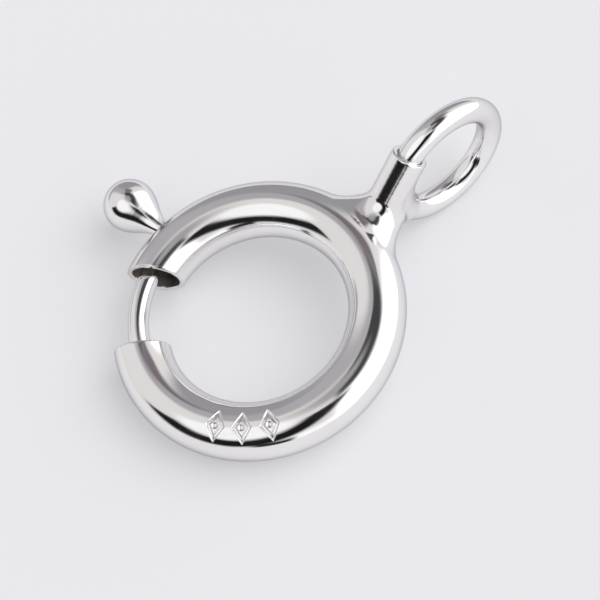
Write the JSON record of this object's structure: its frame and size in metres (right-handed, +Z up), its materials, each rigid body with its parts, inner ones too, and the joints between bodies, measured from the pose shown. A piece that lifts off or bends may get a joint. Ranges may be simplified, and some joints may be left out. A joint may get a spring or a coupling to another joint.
{
  "type": "spring ring clasp",
  "caption": "Round spring ring clasp with a curved sliding bolt, a teardrop trigger and a closed jump ring held square to it by a neck.",
  "frame": {"origin": "middle of the footprint of the clasp as it rests, on the surface", "axes": "+X from the ring towards the jump ring, +Y towards the gap's side, +Z up from the surface"},
  "size_m": [0.0094, 0.0076, 0.003],
  "materials": {
    "silver": "polished",
    "spring_steel": "drawn wire"
  },
  "bodies": {
    "ring": {"ring_tube": "silver", "jump_ring": "silver", "return_spring": "spring_steel"},
    "slider": {"bolt": "silver", "trigger_knob": "silver"}
  },
  "joints": [
    {"name": "bolt_slide", "type": "hinge", "parent": "ring", "child": "slider", "pos_m": [-0.00166, -0.00057, 0.00088], "axis": [0.1239, 0, -0.9923], "range_deg": [0, 43], "stiffness_Nm_per_rad": 0.0012, "springref_deg": -34.38, "deforming": ["return_spring"]}
  ]
}
